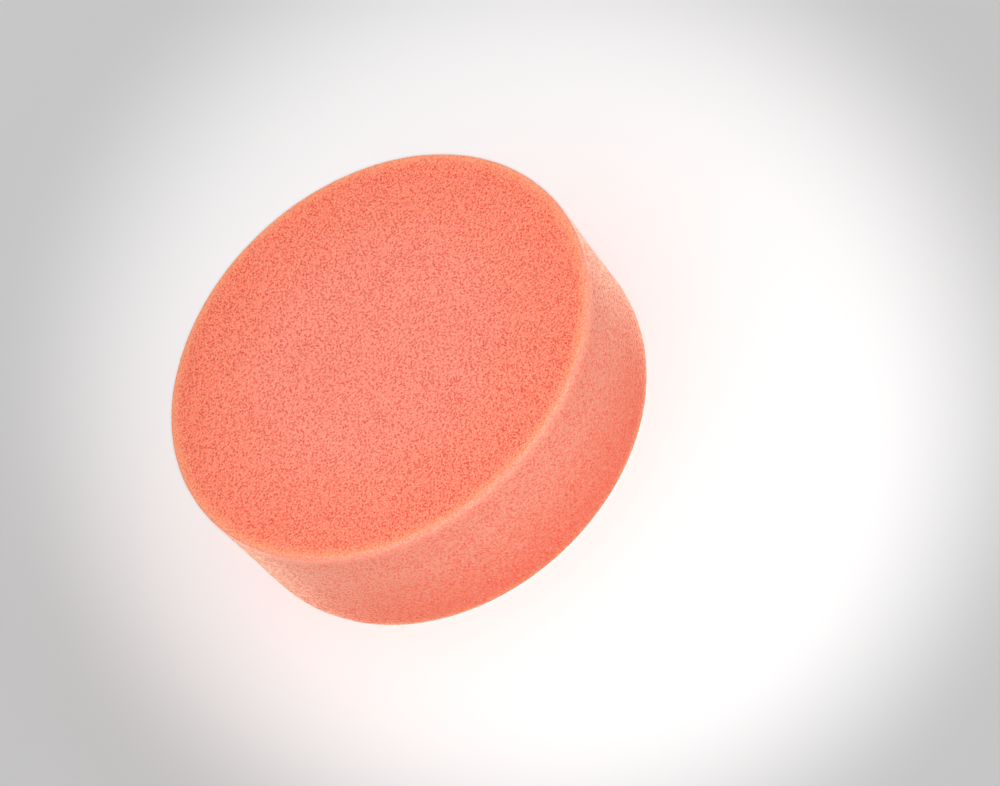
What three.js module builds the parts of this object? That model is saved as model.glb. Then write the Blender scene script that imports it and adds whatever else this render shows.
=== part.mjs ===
// A round foam polishing pad, 150 mm across and 50 mm thick, for a machine polisher.
// It is a laminate of three discs: open-cell foam, a bond film and a loop fabric backing.
// Millimetres, +Z up. The loop fabric lies on z = 0 and the working face of the foam looks along +Z.
import * as THREE from "three";

// Driving dimensions.
const FACE_RADIUS = 75; // the working face, out to the edge of its rim
const TOTAL_HEIGHT = 50; // loop fabric to working face
const FABRIC_THICKNESS = 0.8;
const FABRIC_RADIUS = 72.2; // the fabric stops just inside the foam's back edge
const FILM_THICKNESS = 0.3;
const RIM_ROUND = 1.2; // round on the edge of the working face
const BACK_RADIUS = 72.9; // where the foam meets the film
const SHOULDER_RADIUS = 73.7; // just above the back edge
const LOWER_RADIUS = 74.1; // the foam's lower part, which is nearly straight
const MIDDLE_RADIUS = 74.3; // half way up, from where the side opens out to the face

// Heights on the foam's side, as shares of the foam's own height.
const SHOULDER_SHARE = 0.05;
const LOWER_SHARE = 0.18;
const MIDDLE_SHARE = 0.5;

const ROUND_SEGMENTS = 96; // around the disc
const SIDE_STEPS = 14; // up the side
const RIM_STEPS = 4; // around the rim's quarter circle

// A closed solid of revolution about Z from a profile of (radius, height) points, bottom to top.
function turned(name, profile, look) {
  const geometry = new THREE.LatheGeometry(profile, ROUND_SEGMENTS);
  geometry.rotateX(Math.PI / 2);
  const mesh = new THREE.Mesh(geometry, new THREE.MeshStandardMaterial(look));
  mesh.name = name;
  return mesh;
}

// A plain disc from one height to another.
function disc(name, radius, bottom, top, look) {
  const profile = [
    new THREE.Vector2(0, bottom),
    new THREE.Vector2(radius, bottom),
    new THREE.Vector2(radius, top),
    new THREE.Vector2(0, top),
  ];
  return turned(name, profile, look);
}

// Brushed knit fabric whose loops hold the hooks of a backing plate.
function loopBacking() {
  const look = { color: 0xe8cdd3, roughness: 0.95, metalness: 0 };
  return disc("loop_backing", FABRIC_RADIUS, 0, FABRIC_THICKNESS, look);
}

// Melted film that bonds the fabric to the foam over the fabric's whole area.
function bondFilm() {
  const look = { color: 0xb07a68, roughness: 0.5, metalness: 0 };
  const top = FABRIC_THICKNESS + FILM_THICKNESS;
  return disc("bond_film", FABRIC_RADIUS, FABRIC_THICKNESS, top, look);
}

// The foam disc: flat back, a gently swelling side, a rounded rim and a flat working face.
function foamBody() {
  const look = { color: 0xfb8a72, roughness: 1, metalness: 0 };
  const bottom = FABRIC_THICKNESS + FILM_THICKNESS;
  const height = TOTAL_HEIGHT - bottom;
  const side = new THREE.SplineCurve([
    new THREE.Vector2(BACK_RADIUS, bottom),
    new THREE.Vector2(SHOULDER_RADIUS, bottom + SHOULDER_SHARE * height),
    new THREE.Vector2(LOWER_RADIUS, bottom + LOWER_SHARE * height),
    new THREE.Vector2(MIDDLE_RADIUS, bottom + MIDDLE_SHARE * height),
    new THREE.Vector2(FACE_RADIUS, TOTAL_HEIGHT - RIM_ROUND),
  ]);
  const rim = new THREE.Path().absarc(
    FACE_RADIUS - RIM_ROUND,
    TOTAL_HEIGHT - RIM_ROUND,
    RIM_ROUND,
    0,
    Math.PI / 2,
  );
  const profile = [
    new THREE.Vector2(0, bottom),
    ...side.getPoints(SIDE_STEPS),
    ...rim.getPoints(RIM_STEPS).slice(1),
    new THREE.Vector2(0, TOTAL_HEIGHT),
  ];
  return turned("foam_body", profile, look);
}

const pad = new THREE.Group();
pad.name = "polishing_pad";
pad.add(loopBacking(), bondFilm(), foamBody());

export default pad;
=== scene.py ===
"""A foam polishing pad: a porous foam disc, the film that bonds it, and its knit loop backing.

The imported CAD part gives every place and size. Blender adds the foam's open cells, the fabric's
knit, the materials, a pale floor, soft light and the camera.
"""

import math

import bpy
import numpy as np
from mathutils import Matrix, Vector


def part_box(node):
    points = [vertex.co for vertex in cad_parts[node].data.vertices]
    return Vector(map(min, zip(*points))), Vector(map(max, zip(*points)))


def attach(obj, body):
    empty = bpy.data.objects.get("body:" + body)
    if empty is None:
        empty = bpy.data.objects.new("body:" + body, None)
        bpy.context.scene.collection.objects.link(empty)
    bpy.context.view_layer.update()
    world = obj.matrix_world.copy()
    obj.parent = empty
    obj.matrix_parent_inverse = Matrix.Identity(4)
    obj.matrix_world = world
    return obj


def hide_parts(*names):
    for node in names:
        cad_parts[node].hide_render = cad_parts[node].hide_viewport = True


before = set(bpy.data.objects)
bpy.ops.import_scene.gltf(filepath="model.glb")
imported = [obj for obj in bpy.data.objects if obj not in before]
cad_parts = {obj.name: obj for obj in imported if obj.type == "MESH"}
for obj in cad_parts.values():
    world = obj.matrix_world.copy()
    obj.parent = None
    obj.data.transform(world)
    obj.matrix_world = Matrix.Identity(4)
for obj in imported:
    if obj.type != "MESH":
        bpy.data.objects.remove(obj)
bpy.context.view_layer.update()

MM = 0.001

# Foam.
FOAM_PITCH = 0.33 * MM  # between the foam mesh's points
CELL_SIZE = 0.9 * MM  # of the foam's open cells
PORE_EDGE = 0.5  # how far from its centre a pore starts, in cells
PORE_FLOOR = 0.12  # how far from its centre a pore is deepest, in cells
PIT_DEPTH = 0.34 * MM
RIM_REACH = 5 * MM  # how far from the rim the cut rubbed its cells partly shut
RIM_DEPTH_SHARE = 0.3  # of a pit's painted shade that is left at the rim
RIM_PIT_SHADE_SHARE = 0.38  # of a pit's painted shade that shows away from the rim
OPEN_PIT_SHADE_SHARE = 0.95  # of a pit's colour that shows away from the rim
WAVE_SIZE = 14 * MM  # of the cut surface's slow unevenness
WAVE_DEPTH = 0.3 * MM
FOOT_REACH = 1 * MM  # above the foam's back, where its surface comes to lie smooth on the bond
PORES_PER_CELL = 2.1  # how many of the fine pores fit across one cell

# Foam colours, in linear light.
FOAM_BODY = (0.89, 0.227, 0.159, 1)  # the middle of the face
FOAM_WARM = (0.90, 0.248, 0.174, 1)  # slow patches of the face
FOAM_RING = (0.91, 0.183, 0.091, 1)  # the outer part of the face
FOAM_RIM_SHEEN_ON_FACE = (0.90, 0.325, 0.148, 1)  # painted sheen along the rim, on the face
FOAM_RIM_SHEEN_ON_SIDE = (0.79, 0.275, 0.190, 1)  # painted sheen along the rim, on the side
FOAM_CORNER_SHADE = (0.66, 0.225, 0.180, 1)  # the rim's rounded corner, painted darker to dim the highlight the sheen gives there: painted shade
FOAM_SIDE_SHADE = (0.61, 0.203, 0.138, 1)  # the side, near the face, painted darker than the face to offset the brighter light the side gets: painted shade
FOAM_LOW = (0.56, 0.106, 0.059, 1)  # the side, near the back: darker and redder, and like the side painted darker than the face
FOAM_FOOT = (0.56, 0.190, 0.092, 1)  # the side's last few millimetres
FOAM_FLECK_HIGHLIGHT = (0.86, 0.450, 0.350, 1)  # painted highlights on the cell walls
FOAM_PIT_SHADE = (0.68, 0.018, 0.007, 1)  # painted shade inside the open cells
FOAM_SHEEN = (1.0, 0.66, 0.48, 1)

# Bond film, with its colours in linear light.
FILM_PITCH = 0.8 * MM
FILM_BEAD = 0.25 * MM  # how far the squeezed-out bond stands in and out around the edge
FILM_EDGE = 2 * MM  # how far in from its edge the film wanders
# the dark brown is partly the bond's own colour and partly painted shade at the joint
BOND_DARK_AND_SHADE = (0.16, 0.05, 0.03, 1)
BOND_PALE = (0.34, 0.12, 0.075, 1)

# Loop fabric.
FABRIC_PITCH = 0.28 * MM
ROW_SPACING = 0.94 * MM  # between the knit's rows
STITCH_SPACING = 0.97 * MM  # between the stitches of a row
ROW_ANGLE = math.radians(28)
ROW_SWAY = 0.3 * MM  # how far a row wanders from a straight line
PILE_RELIEF = 0.26 * MM  # from the top of a loop to the valley between two rows
GAP_DEPTH = 0.2 * MM  # of the open gaps between stitches, below the valley
FRAY_REACH = 1 * MM  # how far in from the cut edge the fabric frays
FRAY_DEPTH = 0.3 * MM
EDGE_REACH = 0.5 * MM  # the width of the cut edge's white line

# Loop fabric colours, in linear light.
LOOP_PILE = (0.74, 0.525, 0.565, 1)
LOOP_PALE = (0.82, 0.635, 0.665, 1)
# painted shade in the valleys between rows, also used for darker patches at random
LOOP_VALLEY_SHADE_AND_MOTTLE = (0.56, 0.330, 0.370, 1)
# painted shade in the open gaps between stitches
LOOP_GAP_SHADE = (0.32, 0.085, 0.095, 1)
LOOP_EDGE = (0.88, 0.84, 0.86, 1)

# Stage.
FLOOR_HALF = 3.0
FLOOR_GREY = (0.90, 0.90, 0.90, 1)
HORIZON_LIGHT = 2.6
HIGH_LIGHT = 0.37
HIGH_SLOPE = 0.6  # the sine of the elevation from which the world's light is even
POOL_POWER = 58.5
POOL_ANGLE = math.radians(13.9)
POOL_TURN = math.radians(-0.37)  # of the pool of light, away from where the camera looks
POOL_BLEND = 0.75
POOL_RADIUS = 0.015

# ---------------------------------------------------------------- mesh building


def concentric(cells):
    """A square grid bent onto the unit disc: its points, its quads, and its edge points in turn.

    Its points are spaced evenly, and the edge points lie at even angles.
    """
    line = np.linspace(-1, 1, cells + 1)
    a, b = np.meshgrid(line, line, indexing="ij")
    wide = np.abs(a) > np.abs(b)
    with np.errstate(divide="ignore", invalid="ignore"):
        angle = np.where(wide, math.pi / 4 * b / a, math.pi / 2 - math.pi / 4 * a / b)
    radius = np.where(wide, a, b)
    angle = np.where(radius == 0, 0, angle)
    points = np.stack([radius * np.cos(angle), radius * np.sin(angle)], -1)
    index = np.arange((cells + 1) ** 2).reshape(cells + 1, cells + 1)
    quads = np.stack([index[:-1, :-1], index[1:, :-1], index[1:, 1:], index[:-1, 1:]], -1)
    edge = np.concatenate([index[-1, :-1], index[:0:-1, -1], index[0, :0:-1], index[:-1, 0]])
    return points.reshape(-1, 2), quads.reshape(-1, 4), edge


def mesh_object(name, points, faces):
    """A smooth-shaded mesh object from its points and its faces."""
    mesh = bpy.data.meshes.new(name)
    mesh.from_pydata(points.tolist(), [], faces)
    mesh.shade_smooth()
    made = bpy.data.objects.new(name, mesh)
    bpy.context.scene.collection.objects.link(made)
    return made


def give_numbers(piece, name, values):
    """Stores one number for each point of a piece, for its material to read."""
    store = piece.data.attributes.new(name, "FLOAT", "POINT")
    store.data.foreach_set("value", np.asarray(values, np.float32))


def give_places(piece, name, places):
    """Stores one place for each point of a piece, for its material to read."""
    store = piece.data.attributes.new(name, "FLOAT_VECTOR", "POINT")
    store.data.foreach_set("vector", np.asarray(places, np.float32).ravel())


def meridian(node):
    """The outer (radius, height) points of a round CAD node, from its lowest to its highest."""
    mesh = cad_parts[node].data
    places = np.array([v.co for v in mesh.vertices])
    radii = np.hypot(places[:, 0], places[:, 1])
    heights = np.round(places[:, 2], 6)
    levels = np.unique(heights)
    return np.array([(radii[heights == level].max(), level) for level in levels])


def walked(line, pitch):
    """A falling line of (radius, height) points spaced again by the pitch, and its normals."""
    steps = np.linalg.norm(np.diff(line, axis=0), axis=1)
    along = np.concatenate([[0], np.cumsum(steps)])
    at = np.linspace(0, along[-1], max(3, round(along[-1] / pitch) + 1))
    places = np.stack([np.interp(at, along, line[:, k]) for k in (0, 1)], -1)
    slope = np.gradient(places, axis=0)
    normals = np.stack([-slope[:, 1], slope[:, 0]], -1)
    return places, normals / np.linalg.norm(normals, axis=1)[:, None]


def round_body(line, pitch):
    """A closed round body under a falling line of (radius, height) points.

    Returns its points, their outward normals and its faces. The top and the side have points at
    every pitch, and the underside is a plain fan.
    """
    cells = round(math.sqrt(math.pi) * line[0, 0] / pitch)
    disc, quads, edge = concentric(cells)
    spokes = disc[edge]
    side, side_normals = walked(line, pitch)

    def ring(radius, height):
        return np.column_stack([spokes * radius, np.full(len(edge), height)])

    top = np.column_stack([disc * line[0, 0], np.full(len(disc), line[0, 1])])
    walls = [ring(r, z) for r, z in side[1:]]
    centre = np.array([[0, 0, line[-1, 1]]])
    points = np.concatenate([top, *walls, centre])
    normals = [np.tile([0.0, 0.0, 1.0], (len(disc), 1))]
    normals += [ring(r, z) for r, z in side_normals[1:]]
    normals += [np.array([[0.0, 0.0, -1.0]])]

    rows = [edge] + [len(disc) + k * len(edge) + np.arange(len(edge)) for k in range(len(walls))]
    faces = quads.tolist()
    for upper, lower in zip(rows, rows[1:]):
        across = [upper, lower, np.roll(lower, -1), np.roll(upper, -1)]
        faces += np.stack(across, -1).tolist()
    last = rows[-1]
    middle = np.full(len(last), len(points) - 1)
    faces += np.stack([last, middle, np.roll(last, -1)], -1).tolist()
    return points, np.concatenate(normals), faces


def texture_at(points, kind, output, settings=None, **inputs):
    """What a texture node gives at each of the points, the same as it gives in a material."""
    tree = bpy.data.node_groups.new("sampler", "GeometryNodeTree")
    tree.interface.new_socket("Geometry", in_out="INPUT", socket_type="NodeSocketGeometry")
    tree.interface.new_socket("Geometry", in_out="OUTPUT", socket_type="NodeSocketGeometry")
    start = tree.nodes.new("NodeGroupInput")
    end = tree.nodes.new("NodeGroupOutput")
    store = tree.nodes.new("GeometryNodeStoreNamedAttribute")
    store.domain = "POINT"
    store.inputs["Name"].default_value = "sample"
    texture = add(tree, kind, settings, **inputs)
    tree.links.new(texture.outputs[output], store.inputs["Value"])
    tree.links.new(start.outputs[0], store.inputs["Geometry"])
    tree.links.new(store.outputs["Geometry"], end.inputs[0])

    mesh = bpy.data.meshes.new("sampler")
    mesh.vertices.add(len(points))
    mesh.vertices.foreach_set("co", np.asarray(points, np.float32).ravel())
    cloud = bpy.data.objects.new("sampler", mesh)
    bpy.context.scene.collection.objects.link(cloud)
    cloud.modifiers.new("sampler", "NODES").node_group = tree
    seen = cloud.evaluated_get(bpy.context.evaluated_depsgraph_get())
    values = np.empty(len(points), np.float32)
    seen.data.attributes["sample"].data.foreach_get("value", values)
    bpy.data.objects.remove(cloud)
    bpy.data.meshes.remove(mesh)
    bpy.data.node_groups.remove(tree)
    return values.astype(float)


def smooth_step(values, start, end):
    """How far each value is from the start to the end, from 0 to 1, eased at both."""
    share = np.clip((values - start) / (end - start), 0, 1)
    return share * share * (3 - 2 * share)


# ---------------------------------------------------------------- foam


def make_foam():
    """The foam disc, with its open cells as real pits."""
    line = meridian("foam_body")[::-1]
    points, normals, faces = round_body(line, FOAM_PITCH)
    low, high = line[-1, 1], line[0, 1]
    centre_distance = texture_at(points, "TexVoronoi", "Distance", None, Scale=1 / CELL_SIZE)
    radii = np.hypot(points[:, 0], points[:, 1])
    from_rim = np.hypot(radii - line[:, 0].max(), points[:, 2] - high)
    pit = smooth_step(centre_distance, PORE_EDGE, PORE_FLOOR)
    kept = smooth_step(from_rim, 0.5 * MM, RIM_REACH)
    pit *= RIM_DEPTH_SHARE + (1 - RIM_DEPTH_SHARE) * kept
    wave = texture_at(points, "TexNoise", 0, None, Scale=1 / WAVE_SIZE, Detail=2.0) - 0.5
    lift = WAVE_DEPTH * wave - PIT_DEPTH * pit
    lift *= smooth_step(points[:, 2], low, low + FOOT_REACH)
    foam = mesh_object("foam_disc", points + normals * lift[:, None], faces)
    give_places(foam, "rest", points)
    give_numbers(foam, "from_rim", from_rim / MM)
    give_numbers(foam, "depth", (high - points[:, 2]) / (high - low))
    give_numbers(foam, "reach", radii / line[:, 0].max())
    return foam


# ---------------------------------------------------------------- film and fabric


def make_film():
    """The bond film, whose edge stands in and out a little where the bond was squeezed."""
    line = meridian("bond_film")[::-1]
    points, normals, faces = round_body(line, FILM_PITCH)
    radii = np.hypot(points[:, 0], points[:, 1])
    outer = line[:, 0].max()
    wander = texture_at(points, "TexNoise", 0, None, Scale=1 / (3 * MM), Detail=3.0) - 0.5
    outside = smooth_step(radii, outer - FILM_EDGE, outer)
    spokes = points * (1, 1, 0) / outer
    shift = FILM_BEAD * 2 * wander * outside
    film = mesh_object("bond_layer", points + spokes * shift[:, None], faces)
    give_places(film, "rest", points)
    return film


def knit(places):
    """The loop fabric at flat places: how high its pile stands, and how open its gaps are.

    The rows run along one direction. Every other valley between them is deep.
    """
    cosine, sine = math.cos(ROW_ANGLE), math.sin(ROW_ANGLE)
    turn = np.array([[cosine, sine], [-sine, cosine]])
    flat = np.column_stack([places[:, :2] @ turn.T, np.zeros(len(places))])
    sway = texture_at(flat, "TexNoise", 0, None, Scale=1 / (9 * MM), Detail=2.0) - 0.5
    slip = texture_at(flat + 1, "TexNoise", 0, None, Scale=1 / (4 * MM), Detail=2.0) - 0.5
    fuzz = texture_at(flat, "TexNoise", 0, None, Scale=1 / (0.7 * MM), Detail=2.0) - 0.5
    worn = texture_at(flat + 2, "TexNoise", 0, None, Scale=1 / (2.2 * MM), Detail=2.0)
    brushed = texture_at(flat + 3, "TexNoise", 0, None, Scale=1 / (5 * MM), Detail=2.0)
    across = (flat[:, 1] + ROW_SWAY * sway) / ROW_SPACING
    along = flat[:, 0] / STITCH_SPACING + 0.8 * slip
    rib = 0.5 - 0.5 * np.cos(2 * math.pi * across)
    deep = 0.575 + 0.425 * np.cos(math.pi * across)
    stitch = 0.5 - 0.5 * np.cos(2 * math.pi * (along + 0.5 * np.floor(across)))
    hole = 0.5 + 0.5 * np.cos(2 * math.pi * (along + 0.5 * np.round(across)))
    kept = 1 - (1 - rib) * deep * (0.45 + 0.55 * smooth_step(brushed, 0.35, 0.65))
    pile = kept * (0.72 + 0.28 * stitch) + 0.35 * fuzz
    gap = (1 - rib) ** 2 * hole ** 2 * (0.3 + 0.7 * deep) * smooth_step(worn, 0.35, 0.7)
    return np.clip(pile, 0, 1), gap


def make_fabric():
    """The loop fabric: a thin knit disc with its pile down, and a cut edge."""
    line = meridian("loop_backing") * (1, -1)
    high = line[:, 1].max()
    points, normals, faces = round_body(line, FABRIC_PITCH)
    over = (1, -1, -1)
    points, normals = points * over, normals * over
    radii = np.hypot(points[:, 0], points[:, 1])
    outer = line[:, 0].max()
    pile, gap = knit(points)
    under = smooth_step(-normals[:, 2], 0.5, 1.0)
    lift = under * (PILE_RELIEF * (1 - pile) + GAP_DEPTH * gap)
    frayed = texture_at(points, "TexNoise", 0, None, Scale=1 / (0.8 * MM), Detail=2.0) - 0.5
    outside = smooth_step(radii, outer - FRAY_REACH, outer)
    spokes = points * (1, 1, 0) / outer
    moved = points + spokes * (FRAY_DEPTH * frayed * outside)[:, None]
    moved[:, 2] += lift
    fabric = mesh_object("loop_fabric", moved, faces)
    give_places(fabric, "rest", points)
    give_numbers(fabric, "pile", pile)
    give_numbers(fabric, "gap", gap)
    give_numbers(fabric, "edge", smooth_step(radii, outer - EDGE_REACH, outer))
    return fabric


# ---------------------------------------------------------------- materials


def new_material(name):
    """A material with nodes, its tree and its Principled shader."""
    material = bpy.data.materials.new(name)
    material.use_nodes = True
    tree = material.node_tree
    return material, tree, tree.nodes["Principled BSDF"]


def add(tree, kind, settings=None, **inputs):
    """A node of a kind, with its settings, and its inputs set to values or linked to sockets.

    An input is given by its name, with _ for a space, or as i and its number.
    """
    made = tree.nodes.new("ShaderNode" + kind)
    for key, value in (settings or {}).items():
        setattr(made, key, value)
    for key, value in inputs.items():
        index = key[1:]
        socket = made.inputs[int(index) if index.isdigit() else key.replace("_", " ")]
        if isinstance(value, bpy.types.NodeSocket):
            tree.links.new(value, socket)
        else:
            socket.default_value = value
    return made


def number(tree, name):
    """A number that was stored on the piece's points."""
    return add(tree, "Attribute", {"attribute_name": name}).outputs["Fac"]


def mixed(tree, factor, first, second):
    """The colour between two, by a factor."""
    made = add(tree, "Mix", {"data_type": "RGBA"}, i0=factor, i6=first, i7=second)
    return made.outputs[2]


def ramp(tree, value, low, high, to_low=0.0, to_high=1.0):
    """A value stretched from one range to another, and held inside it."""
    ends = {"From_Min": low, "From_Max": high, "To_Min": to_low, "To_Max": to_high}
    return add(tree, "MapRange", None, Value=value, **ends).outputs["Result"]


def math_of(tree, operation, first, second):
    """One sum on two values; an operation on one value ignores the second."""
    return add(tree, "Math", {"operation": operation}, i0=first, i1=second).outputs[0]


def foam_material():
    """Matte orange foam: its colour by place on the disc, with the side painted darker than the
    face, painted sheen along the rim and painted shade at its corner, then painted highlights on
    its cell walls and painted shade in its pores and pits.
    """
    material, tree, shader = new_material("foam")
    place = add(tree, "Attribute", {"attribute_name": "rest"}).outputs["Vector"]
    from_rim = number(tree, "from_rim")
    depth = number(tree, "depth")
    reach = number(tree, "reach")

    cells = add(tree, "TexVoronoi", None, Vector=place, Scale=1 / CELL_SIZE).outputs["Distance"]
    fine = PORES_PER_CELL / CELL_SIZE
    pores = add(tree, "TexVoronoi", None, Vector=place, Scale=fine).outputs["Distance"]
    slow = add(tree, "TexNoise", None, Vector=place, Scale=55.0, Detail=3.0).outputs["Fac"]
    fleck = add(tree, "TexNoise", None, Vector=place, Scale=1900.0, Detail=1.0).outputs["Fac"]
    patch = add(tree, "TexNoise", None, Vector=place, Scale=240.0, Detail=2.0).outputs["Fac"]
    edge = math_of(tree, "ADD", from_rim, ramp(tree, patch, 0.3, 0.7, -0.2, 0.2))

    colour = mixed(tree, ramp(tree, slow, 0.35, 0.7), FOAM_BODY, FOAM_WARM)
    colour = mixed(tree, ramp(tree, reach, 0.45, 0.9, 0.0, 0.85), colour, FOAM_RING)
    # the side is painted darker than the face, to offset the brighter light that falls on it:
    # painted shade; towards the back it turns darker and redder
    colour = mixed(tree, ramp(tree, depth, 0.0, 0.03), colour, FOAM_SIDE_SHADE)
    colour = mixed(tree, ramp(tree, depth, 0.35, 1.0), colour, FOAM_LOW)
    # painted sheen: a paler band along the rim, strongest at the rim and fading inwards
    rim_sheen = mixed(tree, ramp(tree, depth, 0.0, 0.03), FOAM_RIM_SHEEN_ON_FACE, FOAM_RIM_SHEEN_ON_SIDE)
    colour = mixed(tree, math_of(tree, "POWER", ramp(tree, edge, 5.2, 0.4), 1.5), colour, rim_sheen)
    # painted shade along the rim's corner, on the side just under the face, that dims the
    # highlight there
    near_corner = ramp(tree, edge, 0.5, 1.1, 0.9, 0.0)
    corner_shade = math_of(tree, "MULTIPLY", near_corner, ramp(tree, depth, 0.0, 0.006))
    colour = mixed(tree, corner_shade, colour, FOAM_CORNER_SHADE)
    colour = mixed(tree, ramp(tree, depth, 0.9, 0.975, 0.0, 0.85), colour, FOAM_FOOT)
    # painted highlights where the cell walls catch light, fewer on the side than on the face
    highlight_share = ramp(tree, depth, 0.0, 0.03, 0.62, 0.22)
    pale = math_of(tree, "MULTIPLY", ramp(tree, fleck, 0.47, 0.66), highlight_share)
    colour = mixed(tree, pale, colour, FOAM_FLECK_HIGHLIGHT)
    # painted shade in the fine pores
    colour = mixed(tree, ramp(tree, pores, 0.38, 0.1, 0.0, 0.5), colour, FOAM_PIT_SHADE)
    # painted shade in the open cells, weaker near the rim where the cells are partly shut
    shares = (RIM_PIT_SHADE_SHARE, OPEN_PIT_SHADE_SHARE)
    open_share = ramp(tree, from_rim, 0.5, RIM_REACH / MM, *shares)
    pit_shade_strength = math_of(tree, "MULTIPLY", ramp(tree, patch, 0.25, 0.7, 0.55, 1.0), open_share)
    pit = math_of(tree, "MULTIPLY", ramp(tree, cells, PORE_EDGE, PORE_FLOOR), pit_shade_strength)
    colour = mixed(tree, pit, colour, FOAM_PIT_SHADE)
    tree.links.new(colour, shader.inputs["Base Color"])
    shader.inputs["Roughness"].default_value = 0.95
    shader.inputs["Specular IOR Level"].default_value = 0.15
    shader.inputs["Sheen Weight"].default_value = 1.0
    shader.inputs["Sheen Roughness"].default_value = 0.3
    shader.inputs["Sheen Tint"].default_value = FOAM_SHEEN
    bump = add(tree, "Bump", None, Strength=0.5, Distance=0.1 * MM, Height=pores)
    tree.links.new(bump.outputs["Normal"], shader.inputs["Normal"])
    return material


def film_material():
    """Set bond, in blotches of a dark and a paler brown; the dark brown is partly painted shade
    at the joint.
    """
    material, tree, shader = new_material("bond_film")
    place = add(tree, "Attribute", {"attribute_name": "rest"}).outputs["Vector"]
    blotch = add(tree, "TexNoise", None, Vector=place, Scale=420.0, Detail=4.0).outputs["Fac"]
    colour = mixed(tree, ramp(tree, blotch, 0.35, 0.65), BOND_DARK_AND_SHADE, BOND_PALE)
    tree.links.new(colour, shader.inputs["Base Color"])
    shader.inputs["Roughness"].default_value = 0.45
    bump = add(tree, "Bump", None, Strength=0.4, Distance=0.1 * MM, Height=blotch)
    tree.links.new(bump.outputs["Normal"], shader.inputs["Normal"])
    return material


def fabric_material():
    """Brushed nylon loops, with painted shade in the valleys and in the gaps between stitches."""
    material, tree, shader = new_material("loop_fabric")
    place = add(tree, "Attribute", {"attribute_name": "rest"}).outputs["Vector"]
    pile = number(tree, "pile")
    gap = number(tree, "gap")
    fibre = add(tree, "TexNoise", None, Vector=place, Scale=3200.0, Detail=2.0).outputs["Fac"]
    slow = add(tree, "TexNoise", None, Vector=place, Scale=70.0, Detail=3.0).outputs["Fac"]
    # painted shade in the valleys between the rows
    colour = mixed(tree, ramp(tree, pile, 0.05, 0.45), LOOP_VALLEY_SHADE_AND_MOTTLE, LOOP_PILE)
    colour = mixed(tree, ramp(tree, fibre, 0.45, 0.7, 0.0, 0.8), colour, LOOP_PALE)
    # darker patches at random, in the valley colour
    colour = mixed(tree, ramp(tree, slow, 0.4, 0.8, 0.0, 0.3), colour, LOOP_VALLEY_SHADE_AND_MOTTLE)
    # painted shade in the open gaps between stitches
    colour = mixed(tree, ramp(tree, gap, 0.1, 0.5), colour, LOOP_GAP_SHADE)
    colour = mixed(tree, number(tree, "edge"), colour, LOOP_EDGE)
    tree.links.new(colour, shader.inputs["Base Color"])
    shader.inputs["Roughness"].default_value = 0.9
    shader.inputs["Specular IOR Level"].default_value = 0.25
    shader.inputs["Sheen Weight"].default_value = 0.15
    shader.inputs["Sheen Roughness"].default_value = 0.4
    bump = add(tree, "Bump", None, Strength=0.6, Distance=0.1 * MM, Height=fibre)
    tree.links.new(bump.outputs["Normal"], shader.inputs["Normal"])
    return material


def floor_material():
    """Pale and matte, with no pattern."""
    material, tree, shader = new_material("floor")
    shader.inputs["Base Color"].default_value = FLOOR_GREY
    shader.inputs["Roughness"].default_value = 0.9
    shader.inputs["Specular IOR Level"].default_value = 0.1
    return material


# ---------------------------------------------------------------- stage


def make_floor():
    """A plain square that the pad lies on."""
    corners = [(-1, -1, 0), (1, -1, 0), (1, 1, 0), (-1, 1, 0)]
    points = np.array(corners, float) * FLOOR_HALF
    floor = mesh_object("floor", points, [[0, 1, 2, 3]])
    floor.data.materials.append(floor_material())
    return floor


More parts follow.
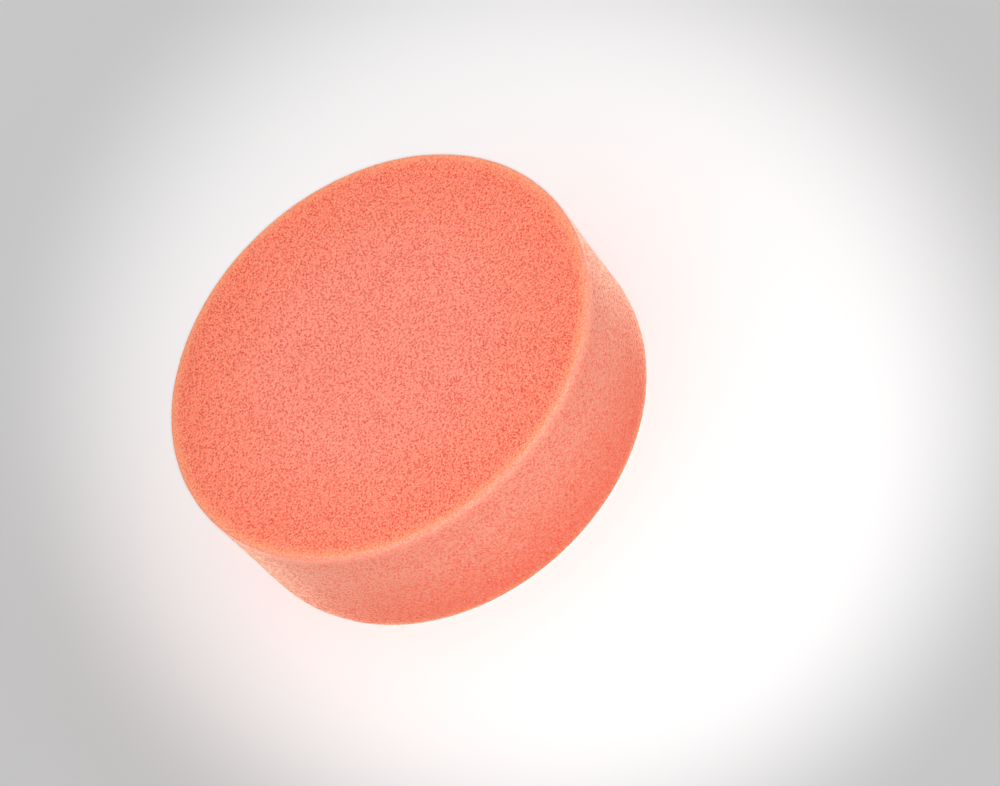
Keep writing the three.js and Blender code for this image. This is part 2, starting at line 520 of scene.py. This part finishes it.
def make_lights():
    """A world that is brightest at the horizon, and a pool of light from the camera's place."""
    world = bpy.data.worlds.new("studio")
    world.use_nodes = True
    tree = world.node_tree
    back = tree.nodes["Background"]
    back.inputs["Color"].default_value = (1, 1, 1, 1)
    direction = add(tree, "TexCoord").outputs["Generated"]
    height = add(tree, "SeparateXYZ", None, Vector=direction).outputs["Z"]
    slope = math_of(tree, "ABSOLUTE", height, 0.0)
    strength = ramp(tree, slope, 0.0, HIGH_SLOPE, HORIZON_LIGHT, HIGH_LIGHT)
    tree.links.new(strength, back.inputs["Strength"])
    bpy.context.scene.world = world
    pool = bpy.data.lights.new("pool", "SPOT")
    pool.energy = POOL_POWER
    pool.spot_size = POOL_ANGLE
    pool.spot_blend = POOL_BLEND
    pool.shadow_soft_size = POOL_RADIUS
    made = bpy.data.objects.new("pool", pool)
    aim = Matrix.Rotation(POOL_TURN, 4, "Y")
    made.matrix_world = bpy.context.scene.camera.matrix_world @ aim
    bpy.context.scene.collection.objects.link(made)


def make_camera():
    """A long lens that looks down on the pad, turned about its own axis.

    The pad stands left of the picture's centre.
    """
    elevation = math.radians(48.64)
    roll = math.radians(41.5)
    distance = 1.436
    aside, above = 39.8 * MM, -13.2 * MM
    back = Vector((0, -math.cos(elevation), math.sin(elevation)))
    right = Vector((1, 0, 0))
    up = back.cross(right)
    turned_right = right * math.cos(roll) - up * math.sin(roll)
    turned_up = up * math.cos(roll) + right * math.sin(roll)
    camera = bpy.data.cameras.new("camera")
    camera.sensor_width = 36
    camera.lens = 162
    camera.clip_start, camera.clip_end = 0.01, 20
    made = bpy.data.objects.new("camera", camera)
    face = Vector((0, 0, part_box("foam_body")[1].z))
    place = face + turned_right * aside + turned_up * above + back * distance
    turn = Matrix((turned_right, turned_up, back)).transposed().to_4x4()
    made.matrix_world = Matrix.Translation(place) @ turn
    bpy.context.scene.collection.objects.link(made)
    bpy.context.scene.camera = made


make_camera()
make_lights()
make_floor()

foam = make_foam()
foam.data.materials.append(foam_material())
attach(foam, "root")
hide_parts("foam_body")

film = make_film()
film.data.materials.append(film_material())
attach(film, "root")
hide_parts("bond_film")

fabric = make_fabric()
fabric.data.materials.append(fabric_material())
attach(fabric, "root")
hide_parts("loop_backing")

scene = bpy.context.scene
scene.view_settings.view_transform = "Standard"
